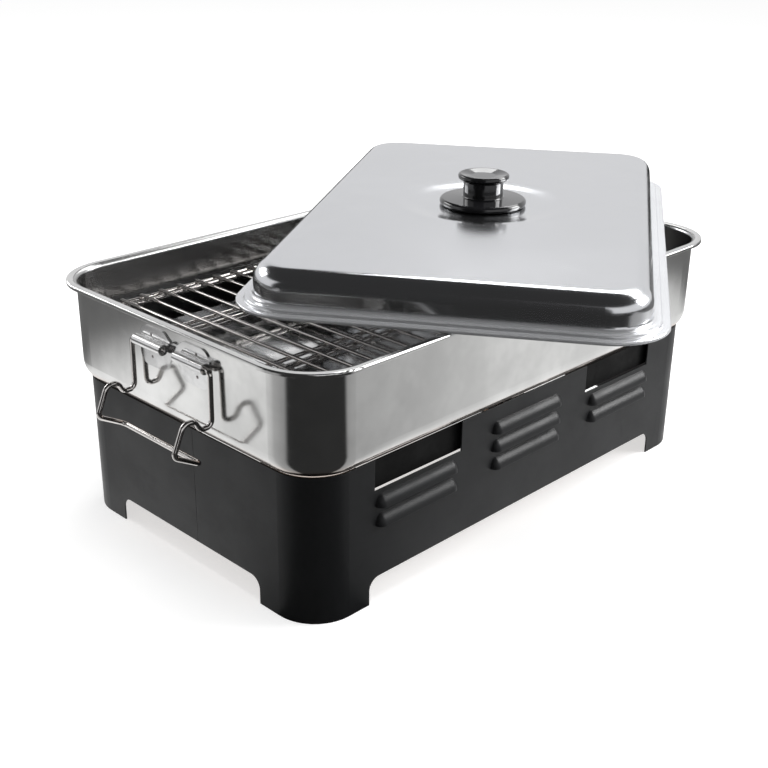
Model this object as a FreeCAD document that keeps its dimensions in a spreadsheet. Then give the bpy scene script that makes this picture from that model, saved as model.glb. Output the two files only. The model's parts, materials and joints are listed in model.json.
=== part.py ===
import FreeCAD
import Part
import Sketcher
import math
import os

# A stovetop smoker box. Lengths are in millimetres, +Z is up, X runs along the long side.
# Pieces are drawn about the middle of the stand, on the floor, and then placed about the
# origin, which lies on the floor under the middle of the whole object's bounding box.
# The lid lies askew on the pan's rim and the handles hang, as the object was photographed.

SIZES = {
    # where the middle of the bounding box lies from the middle of the stand
    "origin_x": 37.0,
    "origin_y": -9.5,
    # stand: two equal sheet halves that meet in the middle of each end
    "stand_inset": 11.5,
    "stand_height": 99.0,
    "stand_corner": 30.0,
    "stand_sheet": 1.0,
    "seam_shift": 11.5,
    "seam_gap": 0.2,
    "foot_height": 18.0,
    "foot_run_end": 48.5,
    "foot_run_side": 47.0,
    "foot_fillet": 8.0,
    # windows and louvres of a long side, counted from its middle louvre group
    "louvre_shift": -4.0,
    "louvre_spacing": 107.5,
    "louvre_length": 72.0,
    "louvre_height": 8.0,
    "louvre_depth": 4.5,
    "louvre_end": 5.0,
    "louvre_slot_inset": 2.0,
    "louvre_row_pitch": 13.0,
    "louvre_lowest": 54.0,
    "window_spacing": 105.5,
    "window_length": 78.0,
    "window_sill": 78.0,
    # strips inside the stand
    "strap_width": 28.0,
    "strap_bottom": 22.0,
    "strap_height": 66.0,
    "rail_inset": 34.5,
    "rail_gap": 3.0,
    "rail_pad": 12.0,
    "rail_middle_pad": 20.0,
    "rail_bottom": 77.4,
    # pan
    "pan_length": 422.0,
    "pan_width": 266.0,
    "pan_corner": 42.0,
    "pan_depth": 71.6,
    "pan_sink": 2.6,
    "pan_sheet": 0.8,
    "rim_reach": 6.5,
    "rim_lip": 2.4,
    "rim_bend": 2.5,
    "rim_edge_round": 0.9,
    "pan_bottom_round": 15.0,
    # handles
    "handle_shift": -6.0,
    "handle_height": 150.0,
    "plate_sheet": 1.0,
    "plate_length": 70.0,
    "plate_height": 26.0,
    "plate_drop": 3.0,
    "plate_round": 8.0,
    "notch_mouth": 20.0,
    "notch_floor": 5.0,
    "notch_above": 5.5,
    "notch_below": 11.0,
    "notch_round": 2.0,
    "lobe_round": 5.0,
    "knuckle_round": 3.5,
    "knuckle_length": 28.5,
    "knuckle_gap": 13.0,
    "knuckle_sink": 0.4,
    "wire_round": 1.65,
    "wire_clearance": 0.08,
    "wire_bend": 3.4,
    "hook_bend": 4.2,
    "crest_bend": 5.9,
    "wire_end_gap": 2.0,
    "leg_gap": 4.5,
    "leg_kick": 0.5,
    "leg_drop": 34.5,
    "hook_out": 9.0,
    "crest_out": 13.0,
    "crest_drop": 27.5,
    "crest_end": 21.0,
    "tip_out": 29.0,
    "tip_drop": 46.0,
    "grip_out": 10.0,
    "grip_drop": 56.5,
    # lid, in its own frame: its lower edge is at zero height
    "lid_x": 74.9,
    "lid_y": -8.9,
    "lid_turn": 33.6,
    "rest_gap": 0.3,
    "lid_length": 424.0,
    "lid_width": 270.5,
    "lid_corner": 40.0,
    "lid_sheet": 0.7,
    "lid_edge_height": 2.0,
    "lid_edge_round": 1.0,
    "lid_flange": 5.5,
    "lid_step": 2.2,
    "lid_ledge": 5.8,
    "lid_height": 26.0,
    "lid_foot_round": 3.0,
    "lid_shoulder": 12.0,
    "lid_hole_round": 4.2,
    "well_round": 61.0,
    "well_floor_round": 46.0,
    "well_depth": 2.3,
    "well_bend": 55.0,
    "well_skirt": 4.0,
    # knob and what holds it
    "knob_gap": 0.05,
    "knob_height": 23.1,
    "knob_base_round": 32.0,
    "knob_base_edge": 5.0,
    "knob_base_rise": 0.8,
    "knob_edge_flat": 0.1,
    "knob_neck_round": 14.8,
    "knob_neck_flare": 1.2,
    "knob_cap_round": 18.8,
    "knob_cap_edge": 3.6,
    "knob_cap_height": 5.2,
    "knob_dish": 1.6,
    "knob_dish_rim": 2.0,
    "knob_dish_round": 9.0,
    "knob_dish_bend": 6.0,
    "insert_round": 4.0,
    "insert_length": 12.0,
    "screw_round": 2.45,
    "screw_clearance": 0.05,
    "screw_reach": 9.0,
    "screw_head_round": 4.5,
    "screw_head_height": 3.0,
    "screw_head_edge": 1.0,
    "washer_round": 9.0,
    "washer_sheet": 1.0,
    "washer_hole": 2.7,
    # grill
    "grill_inset_end": 23.0,
    "grill_inset_side": 17.0,
    "grill_corner": 25.0,
    "grill_level": 139.0,
    "frame_wire": 1.6,
    "cross_wire": 1.25,
    "cross_pitch": 16.1,
    "cross_margin": 8.0,
    "weld_sink": 0.35,
    "runner_wire": 1.4,
    "runner_outer": 109.0,
    "runner_middle": 52.0,
    "runner_inner": 41.0,
    "leg_wire": 2.0,
    "leg_place": 162.0,
    "leg_inset": 12.5,
    "leg_bend": 8.0,
    # tray
    "tray_length": 300.0,
    "tray_width": 206.0,
    "tray_corner": 20.0,
    "tray_height": 12.0,
    "tray_sheet": 0.6,
    "tray_foot_height": 14.0,
    "tray_foot_round": 5.0,
    "tray_foot_inset": 25.0,
    # spirit burners
    "burner_place": 95.0,
    "cup_round": 34.0,
    "cup_height": 30.0,
    "cup_sheet": 0.6,
    "cup_bend": 2.0,
    "pad_height": 23.4,
    "pad_clearance": 0.3,
    "disc_sheet": 0.8,
    "disc_hole": 3.0,
    "disc_hole_circle": 20.0,
    "disc_outer_holes": 8,
    "cap_clearance": 0.5,
    "cap_sheet": 0.6,
    "cap_skirt": 12.0,
    "cap_gap": 0.3,
    "cap_bend": 2.0,
    "cap_button_round": 5.0,
    "cap_button_height": 6.0,
    "cap_button_foot": 1.0,
    "cap_button_edge": 1.5,
}

# sizes that follow from those above: the stand and the grill keep together with the pan
FOLLOWS = {
    "stand_length": "pan_length - 2 * stand_inset",
    "stand_width": "pan_width - 2 * stand_inset",
    "rail_length": "stand_length - 2 * rail_inset",
    "grill_length": "pan_length - 2 * grill_inset_end",
    "grill_width": "pan_width - 2 * grill_inset_side",
}

doc = FreeCAD.newDocument("smoker_box")
sheet = doc.addObject("Spreadsheet::Sheet", "Sizes")
for row, (alias, value) in enumerate(SIZES.items(), start=1):
    sheet.set(f"A{row}", alias)
    sheet.set(f"B{row}", str(value))
    sheet.setAlias(f"B{row}", alias)
doc.recompute()

pieces = []


def in_sheet(words):
    """The expression with every size's name pointed at the sheet."""
    out = []
    for token in words.replace("(", " ( ").replace(")", " ) ").split():
        if token in FOLLOWS:
            out.append(f"( {in_sheet(FOLLOWS[token])} )")
        else:
            out.append(f"Sizes.{token}" if token in SIZES else token)
    return " ".join(out)


def value_of(words):
    """The number that an expression of size names has now."""
    return float(sheet.evalExpression(in_sheet(str(words))))


def bind(thing, prop, words):
    """Tie one property of an object to an expression of size names."""
    thing.setExpression(prop, in_sheet(str(words)))


def keep(thing, label):
    """Take an object as a finished piece and name it."""
    thing.Label = label
    pieces.append(thing)
    return thing


def new_sketch(body, name, role, height="0"):
    """An empty sketch on one of the body's own origin planes, raised along its normal."""
    drawing = body.newObject("Sketcher::SketchObject", name)
    plane = [feature for feature in body.Origin.OriginFeatures if feature.Role == role][0]
    drawing.AttachmentSupport = [(plane, "")]
    drawing.MapMode = "FlatFace"
    bind(drawing, "AttachmentOffset.Base.z", height)
    return drawing


def fix_point(drawing, geo, end, x_words, y_words):
    """Hold one point of a sketch at expressions of size names."""
    for kind, words in (("DistanceX", x_words), ("DistanceY", y_words)):
        index = drawing.addConstraint(Sketcher.Constraint(kind, -1, 1, geo, end, value_of(words)))
        name = f"{kind}_{geo}_{end}"
        drawing.renameConstraint(index, name)
        bind(drawing, f"Constraints.{name}", words)


def outline(drawing, corners):
    """A closed outline through corners (x, y) or (x, y, radius), each an expression."""
    points = [FreeCAD.Vector(value_of(corner[0]), value_of(corner[1]), 0) for corner in corners]
    count = len(corners)
    ins, outs, arcs = [], [], {}
    for i, corner in enumerate(corners):
        before = (points[i - 1] - points[i]).normalize()
        after = (points[(i + 1) % count] - points[i]).normalize()
        if len(corner) < 3:
            ins.append(points[i])
            outs.append(points[i])
            continue
        radius = value_of(corner[2])
        half = before.getAngle(after) / 2
        run = radius / math.tan(half)
        middle = points[i] + (before + after).normalize() * (radius / math.sin(half))
        ins.append(points[i] + before * run)
        outs.append(points[i] + after * run)
        arcs[i] = (middle, radius)
    lines = [
        drawing.addGeometry(Part.LineSegment(outs[i], ins[(i + 1) % count]))
        for i in range(count)
    ]
    for i, corner in enumerate(corners):
        line_in = lines[i - 1]
        line_out = lines[i]
        if i not in arcs:
            drawing.addConstraint(Sketcher.Constraint("Coincident", line_in, 2, line_out, 1))
            fix_point(drawing, line_out, 1, corner[0], corner[1])
            continue
        add_round(drawing, line_in, line_out, ins[i], outs[i], arcs[i], points[i], corner)


def add_round(drawing, line_in, line_out, start, end, arc, point, corner):
    """Round one corner of an outline and tie its point and radius."""
    middle, radius = arc
    first = math.atan2(start.y - middle.y, start.x - middle.x)
    last = math.atan2(end.y - middle.y, end.x - middle.x)
    turn = (last - first) % (2 * math.pi)
    forward = turn < math.pi
    circle = Part.Circle(middle, FreeCAD.Vector(0, 0, 1), radius)
    span = (first, last) if forward else (last, first)
    curve = drawing.addGeometry(Part.ArcOfCircle(circle, span[0], span[1]))
    near, far = (1, 2) if forward else (2, 1)
    drawing.addConstraint(Sketcher.Constraint("Tangent", line_in, 2, curve, near))
    drawing.addConstraint(Sketcher.Constraint("Tangent", curve, far, line_out, 1))
    tip = drawing.addGeometry(Part.Point(point), True)
    drawing.addConstraint(Sketcher.Constraint("PointOnObject", tip, 1, line_in))
    drawing.addConstraint(Sketcher.Constraint("PointOnObject", tip, 1, line_out))
    fix_point(drawing, tip, 1, corner[0], corner[1])
    index = drawing.addConstraint(Sketcher.Constraint("Radius", curve, radius))
    drawing.renameConstraint(index, f"Radius_{curve}")
    bind(drawing, f"Constraints.Radius_{curve}", corner[2])


def rectangle(drawing, length, width, radius=None, x="0", y="0"):
    """A rectangle about (x, y), with rounded corners if a radius is given."""
    corners = []
    for side_x, side_y in ((-1, -1), (1, -1), (1, 1), (-1, 1)):
        corner = [
            f"( {x} ) + {side_x} * ( {length} ) / 2",
            f"( {y} ) + {side_y} * ( {width} ) / 2",
        ]
        corners.append(tuple(corner + [radius] if radius else corner))
    outline(drawing, corners)


def circle(drawing, radius, x="0", y="0"):
    """A circle of a bound radius about (x, y)."""
    middle = FreeCAD.Vector(value_of(x), value_of(y), 0)
    geo = drawing.addGeometry(Part.Circle(middle, FreeCAD.Vector(0, 0, 1), value_of(radius)))
    index = drawing.addConstraint(Sketcher.Constraint("Radius", geo, value_of(radius)))
    drawing.renameConstraint(index, f"Radius_{geo}")
    bind(drawing, f"Constraints.Radius_{geo}", radius)
    if x == "0" and y == "0":
        drawing.addConstraint(Sketcher.Constraint("Coincident", geo, 3, -1, 1))
    else:
        fix_point(drawing, geo, 3, x, y)


def new_body(name):
    """An empty body."""
    return doc.addObject("PartDesign::Body", name)


def pad(body, drawing, height):
    """Raise a sketch along its normal."""
    feature = body.newObject("PartDesign::Pad", drawing.Name + "_pad")
    feature.Profile = drawing
    bind(feature, "Length", height)
    doc.recompute()
    return feature


def pocket(body, drawing, depth, both_ways=False, along_normal=False):
    """Cut a sketch out of the body and check that it removed something."""
    before = body.Shape.Volume
    feature = body.newObject("PartDesign::Pocket", drawing.Name + "_cut")
    feature.Profile = drawing
    bind(feature, "Length", depth)
    feature.SideType = "Symmetric" if both_ways else "One side"
    feature.Reversed = along_normal
    doc.recompute()
    if body.Shape.Volume >= before:
        raise RuntimeError(f"{feature.Name} cuts nothing")
    return feature


def sweep(body, profile, path):
    """Carry a profile sketch along a path sketch."""
    feature = body.newObject("PartDesign::AdditivePipe", profile.Name + "_sweep")
    feature.Profile = profile
    feature.Spine = (path, [])
    doc.recompute()
    return feature


def turn(body, drawing):
    """Turn a sketch of the XZ plane once round the Z axis."""
    feature = body.newObject("PartDesign::Revolution", drawing.Name + "_turn")
    feature.Profile = drawing
    feature.ReferenceAxis = (drawing, ["V_Axis"])
    feature.Angle = 360.0
    doc.recompute()
    return feature


def place(thing, x="0", y="0", z="0", turned="0"):
    """Put a finished object where it belongs from the stand's middle, turned about Z."""
    bind(thing, "Placement.Base.x", f"{x} - origin_x")
    bind(thing, "Placement.Base.y", f"{y} - origin_y")
    bind(thing, "Placement.Base.z", z)
    bind(thing, "Placement.Rotation.Yaw", turned)


def rounded_path(corners):
    """A wire of straight runs and tangent arcs through corners (point, radius)."""
    edges = []
    start = corners[0][0]
    for i in range(1, len(corners) - 1):
        point, radius = corners[i]
        before = (corners[i - 1][0] - point).normalize()
        after = (corners[i + 1][0] - point).normalize()
        half = before.getAngle(after) / 2
        run = radius / math.tan(half)
        first = point + before * run
        last = point + after * run
        middle = point + (before + after).normalize() * (radius / math.sin(half) - radius)
        edges.append(Part.LineSegment(start, first).toShape())
        edges.append(Part.Arc(first, middle, last).toShape())
        start = last
    edges.append(Part.LineSegment(start, corners[-1][0]).toShape())
    return Part.Wire(edges)


def wire_along(path, radius):
    """A round wire along a path, compared with its section times its length."""
    first = path.Edges[0]
    tangent = first.tangentAt(first.FirstParameter)
    ring = Part.Wire([Part.Circle(first.valueAt(first.FirstParameter), tangent, radius).toShape()])
    solid = path.makePipeShell([ring], True, True)
    expected = math.pi * radius * radius * path.Length
    if not solid.isValid() or abs(solid.Volume - expected) > 0.02 * expected:
        raise RuntimeError("a wire came out wrong")
    return solid


def stand_half(label, turned):
    """One half of the stand, with its feet, windows and louvres."""
    body = new_body(label + "_sheet")
    ring = new_sketch(body, label + "_ring", "XY_Plane")
    rectangle(ring, "stand_length", "stand_width", "stand_corner")
    rectangle(
        ring,
        "stand_length - 2 * stand_sheet",
        "stand_width - 2 * stand_sheet",
        "stand_corner - stand_sheet",
    )
    pad(body, ring, "stand_height")
    far = new_sketch(body, label + "_far", "XY_Plane")
    outline(far, [
        ("-1 * stand_length", "-1 * seam_shift - seam_gap / 2"),
        ("0", "-1 * seam_shift - seam_gap / 2"),
        ("0", "seam_shift - seam_gap / 2"),
        ("stand_length", "seam_shift - seam_gap / 2"),
        ("stand_length", "stand_width"),
        ("-1 * stand_length", "stand_width"),
    ])
    pocket(body, far, "stand_height", along_normal=True)
    side = new_sketch(body, label + "_side_arch", "XZ_Plane")
    rectangle(side, "stand_length - 2 * foot_run_side", "2 * foot_height", "foot_fillet")
    pocket(body, side, "stand_width", along_normal=True)
    ends = new_sketch(body, label + "_end_arch", "YZ_Plane")
    rectangle(ends, "stand_width - 2 * foot_run_end", "2 * foot_height", "foot_fillet")
    pocket(body, ends, "2 * stand_length", both_ways=True)
    for way in (-1, 1):
        window = new_sketch(body, f"{label}_window_{way + 1}", "XZ_Plane")
        middle = f"louvre_shift + {way} * window_spacing"
        rectangle(
            window, "window_length", "2 * ( stand_height - window_sill )",
            None, middle, "stand_height",
        )
        pocket(body, window, "stand_width", along_normal=True)
    hoods = []
    for way, rows in ((-1, (0, 1)), (0, (0, 1, 2)), (1, (0, 1))):
        for level in rows:
            name = f"{label}_louvre_{way + 1}_{level}"
            middle = f"louvre_shift + {way} * louvre_spacing"
            lip = f"louvre_lowest + {level} * louvre_row_pitch"
            slot = new_sketch(body, name + "_slot", "XZ_Plane")
            rectangle(
                slot, "louvre_length - 2 * louvre_end", "louvre_height - louvre_slot_inset",
                None, middle, f"{lip} + ( louvre_height - louvre_slot_inset ) / 2",
            )
            pocket(body, slot, "stand_width", along_normal=True)
            hoods.append(louvre_hood(name, middle, lip))
    half = doc.addObject("Part::MultiFuse", label)
    half.Shapes = [body] + hoods
    place(half, turned=turned)
    return keep(half, label)


def louvre_hood(name, middle, lip):
    """A pressed louvre: a round-ended bulge of the sheet, hollow and open below."""
    outer = louvre_bulge(name + "_outside", middle, lip, "0")
    inner = louvre_bulge(name + "_inside", middle, lip, "stand_sheet")
    shell = doc.addObject("Part::Cut", name + "_shell")
    shell.Base = outer
    shell.Tool = inner
    front = doc.addObject("Part::Box", name + "_front")
    bind(front, "Length", "2 * louvre_length")
    bind(front, "Width", "2 * louvre_depth")
    bind(front, "Height", "2 * louvre_height")
    bind(front, "Placement.Base.x", f"{middle} - louvre_length")
    bind(front, "Placement.Base.y", "-1 * stand_width / 2 + stand_sheet / 2 - 2 * louvre_depth")
    bind(front, "Placement.Base.z", lip)
    hood = doc.addObject("Part::Common", name)
    hood.Base = shell
    hood.Tool = front
    return hood


def louvre_bulge(name, middle, lip, inset):
    """A lying rod with rounded ends that leaves the wall by the louvre's depth and height."""
    sunk = "( louvre_height ^ 2 - louvre_depth ^ 2 ) / ( 2 * louvre_depth )"
    radius = f"louvre_depth + {sunk} - {inset}"
    half = f"( louvre_length / 2 - {inset} )"
    bend = f"louvre_end - {inset}"
    rod = turned_piece(name, [
        ("0", f"-1 * {half}"),
        (radius, f"-1 * {half}", bend),
        (radius, half, bend),
        ("0", half),
    ])
    rod.Placement.Rotation = FreeCAD.Rotation(FreeCAD.Vector(0, 1, 0), 90)
    bind(rod, "Placement.Base.x", middle)
    bind(rod, "Placement.Base.y", f"-1 * stand_width / 2 + {sunk}")
    bind(rod, "Placement.Base.z", lip)
    return rod


def seam_strap(label, way):
    """A strip behind one seam of the stand."""
    strap = doc.addObject("Part::Box", label)
    bind(strap, "Length", "stand_sheet")
    bind(strap, "Width", "strap_width")
    bind(strap, "Height", "strap_height")
    inner = f"{way} * ( stand_length / 2 - 3 * stand_sheet / 2 ) - stand_sheet / 2"
    place(strap, inner, f"{way} * seam_shift - strap_width / 2", "strap_bottom")
    return keep(strap, label)


def pan_rail(label, turned):
    """A joggled strip inside a long side: it stands off behind the windows."""
    body = new_body(label)
    drawing = new_sketch(body, label + "_plan", "XY_Plane", "rail_bottom")
    wall = "-1 * stand_width / 2 + stand_sheet"
    steps = [
        ("-1 * rail_length / 2", "0"),
        ("-1 * rail_length / 2 + rail_pad", "0"),
        ("-1 * rail_length / 2 + rail_pad + rail_gap", "rail_gap"),
        ("louvre_shift - rail_middle_pad / 2 - rail_gap", "rail_gap"),
        ("louvre_shift - rail_middle_pad / 2", "0"),
        ("louvre_shift + rail_middle_pad / 2", "0"),
        ("louvre_shift + rail_middle_pad / 2 + rail_gap", "rail_gap"),
        ("rail_length / 2 - rail_pad - rail_gap", "rail_gap"),
        ("rail_length / 2 - rail_pad", "0"),
        ("rail_length / 2", "0"),
    ]
    near = [(x, f"{wall} + {y}") for x, y in steps]
    far = [(x, f"{wall} + {y} + stand_sheet") for x, y in reversed(steps)]
    outline(drawing, near + far)
    pad(body, drawing, "stand_height - pan_sink - rest_gap - rail_bottom")
    place(body, turned=turned)
    return keep(body, label)


def pan():
    """The pan: one profile of rim, wall and bottom round carried about its outline."""
    body = new_body("pan")
    path = new_sketch(body, "pan_path", "XY_Plane")
    rectangle(path, "pan_length", "pan_width", "pan_corner")
    edge = "pan_length / 2"
    wall = "pan_length / 2 - rim_reach"
    floor_edge = f"{wall} - pan_bottom_round - pan_sheet"
    profile = new_sketch(body, "pan_profile", "XZ_Plane")
    outline(profile, [
        (edge, "pan_depth", "rim_edge_round"),
        (edge, "pan_depth - rim_lip"),
        (f"{edge} - pan_sheet", "pan_depth - rim_lip"),
        (f"{edge} - pan_sheet", "pan_depth - pan_sheet"),
        (wall, "pan_depth - pan_sheet", "rim_bend"),
        (wall, "0", "pan_bottom_round"),
        (floor_edge, "0"),
        (floor_edge, "pan_sheet"),
        (f"{wall} - pan_sheet", "pan_sheet", "pan_bottom_round - pan_sheet"),
        (f"{wall} - pan_sheet", "pan_depth", "rim_bend + pan_sheet"),
    ])
    sweep(body, profile, path)
    bottom = new_sketch(body, "pan_bottom", "XY_Plane")
    inset = "2 * rim_reach + 2 * pan_bottom_round + pan_sheet"
    rectangle(
        bottom, f"pan_length - ( {inset} )", f"pan_width - ( {inset} )",
        f"pan_corner - ( {inset} ) / 2",
    )
    pad(body, bottom, "pan_sheet")
    place(body, z="stand_height - pan_sink")
    return keep(body, "pan")


def handle_plate(label, turned):
    """A lobed plate on the pan's end with two rolled knuckles for the handle."""
    body = new_body(label + "_sheet")
    face = "pan_length / 2 - rim_reach"
    drawing = new_sketch(body, label + "_outline", "YZ_Plane", face)
    top = "handle_height - plate_drop + plate_height / 2"
    low = "handle_height - plate_drop - plate_height / 2"
    lower = [
        ("plate_length / 2", low, "plate_round"),
        ("notch_mouth / 2", low, "lobe_round"),
        ("notch_floor / 2", f"{low} + notch_below", "notch_round"),
    ]
    upper = [
        ("notch_floor / 2", f"{top} - notch_above", "notch_round"),
        ("notch_mouth / 2", top, "lobe_round"),
        ("plate_length / 2", top, "plate_round"),
    ]
    corners = [(f"-1 * {y}", z, radius) for y, z, radius in lower]
    corners += list(reversed(lower)) + list(reversed(upper))
    corners += [(f"-1 * {y}", z, radius) for y, z, radius in upper]
    outline(drawing, corners)
    pad(body, drawing, "plate_sheet")
    knuckles = []
    for way in (-1, 1):
        name = f"{label}_knuckle_{way + 1}"
        tube = doc.addObject("Part::Cylinder", name + "_outside")
        bind(tube, "Radius", "knuckle_round")
        bind(tube, "Height", "knuckle_length")
        knuckles.append(tube)
        tube.Placement.Rotation = FreeCAD.Rotation(FreeCAD.Vector(1, 0, 0), -90)
        start = f"{way} * ( knuckle_gap + knuckle_length ) / 2 - knuckle_length / 2"
        bind(tube, "Placement.Base.x", knuckle_axis())
        bind(tube, "Placement.Base.y", start)
        bind(tube, "Placement.Base.z", "handle_height")
    joined = doc.addObject("Part::MultiFuse", label + "_joined")
    joined.Shapes = [body] + knuckles
    bore = doc.addObject("Part::Cylinder", label + "_bore")
    bind(bore, "Radius", "wire_round + wire_clearance")
    bind(bore, "Height", "2 * plate_length")
    bore.Placement.Rotation = FreeCAD.Rotation(FreeCAD.Vector(1, 0, 0), -90)
    bind(bore, "Placement.Base.x", knuckle_axis())
    bind(bore, "Placement.Base.y", "-1 * plate_length")
    bind(bore, "Placement.Base.z", "handle_height")
    plate = doc.addObject("Part::Cut", label)
    plate.Base = joined
    plate.Tool = bore
    place(plate, "0", "handle_shift", turned=turned)
    return keep(plate, label)


def knuckle_axis():
    """Where the handle's hinge axis lies out from the middle of the pan."""
    return "pan_length / 2 - rim_reach + plate_sheet + knuckle_round - knuckle_sink"


def handle(label, turned):
    """A bail of round wire whose ends turn in the knuckles and whose legs bend in an S."""
    axis = value_of(knuckle_axis())
    level = value_of("handle_height")
    leg = value_of("knuckle_gap / 2 + knuckle_length + leg_gap")
    end = value_of("knuckle_gap / 2 + wire_end_gap")
    bend = value_of("wire_bend")
    # how far each corner of a leg lies out from the hinge axis and below it
    names = [
        ("leg_kick", "leg_drop", "hook_bend"),
        ("hook_out", "leg_drop", "hook_bend"),
        ("crest_out", "crest_drop", "crest_bend"),
        ("crest_end", "crest_drop", "crest_bend"),
        ("tip_out", "tip_drop", "wire_bend"),
        ("grip_out", "grip_drop", "wire_bend"),
    ]
    bends = [tuple(value_of(name) for name in row) for row in names]
    corners = [(FreeCAD.Vector(axis, -end, level), 0)]
    corners.append((FreeCAD.Vector(axis, -leg, level), bend))
    for out, down, radius in bends:
        corners.append((FreeCAD.Vector(axis + out, -leg, level - down), radius))
    for out, down, radius in reversed(bends):
        corners.append((FreeCAD.Vector(axis + out, leg, level - down), radius))
    corners.append((FreeCAD.Vector(axis, leg, level), bend))
    corners.append((FreeCAD.Vector(axis, end, level), 0))
    bail = doc.addObject("Part::Feature", label)
    bail.Shape = wire_along(rounded_path(corners), value_of("wire_round"))
    place(bail, "0", "handle_shift", turned=turned)
    return keep(bail, label)


def on_lid(thing, label):
    """Put a piece that was drawn about the lid's middle where the lid lies."""
    place(thing, "lid_x", "lid_y", f"{rim_top()} + rest_gap", "lid_turn")
    return keep(thing, label)


def rim_top():
    """The height of the pan's rim above the floor."""
    return "stand_height - pan_sink + pan_depth"


def lid_shell():
    """The lid: its edge, flange, step, ledge, wall and shoulder carried about its outline."""
    body = new_body("lid_shell")
    path = new_sketch(body, "lid_path", "XY_Plane")
    rectangle(path, "lid_length", "lid_width", "lid_corner")
    edge = "lid_length / 2"
    step = f"{edge} - lid_flange"
    wall = f"{step} - lid_ledge"
    flange = "lid_edge_height"
    ledge = "lid_edge_height + lid_step"
    top_edge = f"{wall} - lid_shoulder - lid_sheet"
    profile = new_sketch(body, "lid_profile", "XZ_Plane")
    outline(profile, [
        (edge, "0"),
        (edge, flange, "lid_edge_round"),
        (step, flange, "lid_edge_round"),
        (step, ledge, "lid_edge_round"),
        (wall, ledge, "lid_foot_round"),
        (wall, "lid_height", "lid_shoulder"),
        (top_edge, "lid_height"),
        (top_edge, "lid_height - lid_sheet"),
        (f"{wall} - lid_sheet", "lid_height - lid_sheet", "lid_shoulder - lid_sheet"),
        (f"{wall} - lid_sheet", f"{ledge} - lid_sheet", "lid_foot_round + lid_sheet"),
        (f"{step} - lid_sheet", f"{ledge} - lid_sheet", "lid_edge_round - lid_sheet"),
        (f"{step} - lid_sheet", f"{flange} - lid_sheet", "lid_edge_round + lid_sheet"),
        (f"{edge} - lid_sheet", f"{flange} - lid_sheet"),
        (f"{edge} - lid_sheet", "0"),
    ])
    sweep(body, profile, path)
    top = new_sketch(body, "lid_top", "XY_Plane", "lid_height - lid_sheet")
    inset = "2 * lid_flange + 2 * lid_ledge + 2 * lid_shoulder + lid_sheet"
    rectangle(
        top, f"lid_length - ( {inset} )", f"lid_width - ( {inset} )",
        f"lid_corner - ( {inset} ) / 2",
    )
    circle(top, "well_round + well_skirt - lid_sheet")
    pad(body, top, "lid_sheet")
    pressed = new_sketch(body, "lid_well", "XZ_Plane")
    section = [
        ("well_round + well_skirt", "lid_height"),
        ("well_round", "lid_height", "well_bend"),
        ("well_floor_round", "lid_height - well_depth", "well_bend"),
        ("lid_hole_round", "lid_height - well_depth"),
    ]
    below = [(row[0], f"{row[1]} - lid_sheet", *row[2:]) for row in reversed(section)]
    outline(pressed, section + below)
    turn(body, pressed)
    return on_lid(body, "lid_shell")


def well_floor():
    """The height of the lid's sunk round above the lid's lower edge."""
    return "lid_height - well_depth"


def lid_knob():
    """The knob: a wide base disc, a straight neck and a thin dished cap."""
    body = new_body("lid_knob")
    drawing = new_sketch(body, "knob_profile", "XZ_Plane")
    base = f"{well_floor()} + knob_gap"
    top = f"{base} + knob_height"
    bore = "insert_round"
    base_bend = "knob_base_edge / 2 - knob_edge_flat"
    cap_bend = "knob_cap_edge / 2 - knob_edge_flat"
    outline(drawing, [
        (bore, base),
        ("knob_base_round", base, base_bend),
        ("knob_base_round", f"{base} + knob_base_edge", base_bend),
        ("knob_neck_round", f"{base} + knob_base_edge + knob_base_rise", "knob_neck_flare"),
        ("knob_neck_round", f"{top} - knob_cap_height", "knob_neck_flare"),
        ("knob_cap_round", f"{top} - knob_cap_edge", cap_bend),
        ("knob_cap_round", top, cap_bend),
        ("knob_cap_round - knob_dish_rim", top, "knob_dish_bend"),
        ("knob_dish_round", f"{top} - knob_dish", "knob_dish_bend"),
        ("0", f"{top} - knob_dish"),
        ("0", f"{base} + insert_length"),
        (bore, f"{base} + insert_length"),
    ])
    turn(body, drawing)
    return on_lid(body, "lid_knob")


def turned_piece(label, corners):
    """A piece turned about the Z axis from an outline of (radius, height) corners."""
    body = new_body(label)
    drawing = new_sketch(body, label + "_profile", "XZ_Plane")
    outline(drawing, corners)
    turn(body, drawing)
    return body


def knob_fixings():
    """The brass insert in the knob, and the washer and screw below the lid."""
    base = f"{well_floor()} + knob_gap"
    under = f"{well_floor()} - lid_sheet - knob_gap"
    seat = f"{under} - washer_sheet"
    insert = turned_piece("knob_insert", [
        ("screw_round + screw_clearance", base),
        ("insert_round", base),
        ("insert_round", f"{base} + insert_length"),
        ("screw_round + screw_clearance", f"{base} + insert_length"),
    ])
    on_lid(insert, "knob_insert")
    washer = turned_piece("knob_washer", [
        ("washer_hole", seat),
        ("washer_round", seat),
        ("washer_round", under),
        ("washer_hole", under),
    ])
    on_lid(washer, "knob_washer")
    screw = turned_piece("knob_screw", [
        ("0", f"{seat} - screw_head_height"),
        ("screw_head_round", f"{seat} - screw_head_height", "screw_head_edge"),
        ("screw_head_round", seat),
        ("screw_round", seat),
        ("screw_round", f"{base} + screw_reach"),
        ("0", f"{base} + screw_reach"),
    ])
    on_lid(screw, "knob_screw")


def grill_frame():
    """The wire loop about the grill."""
    body = new_body("grill_frame")
    path = new_sketch(body, "grill_path", "XY_Plane")
    rectangle(path, "grill_length", "grill_width", "grill_corner")
    section = new_sketch(body, "grill_section", "XZ_Plane")
    circle(section, "frame_wire", "grill_length / 2", "0")
    sweep(body, section, path)
    place(body, z="grill_level")
    return keep(body, "grill_frame")


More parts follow.
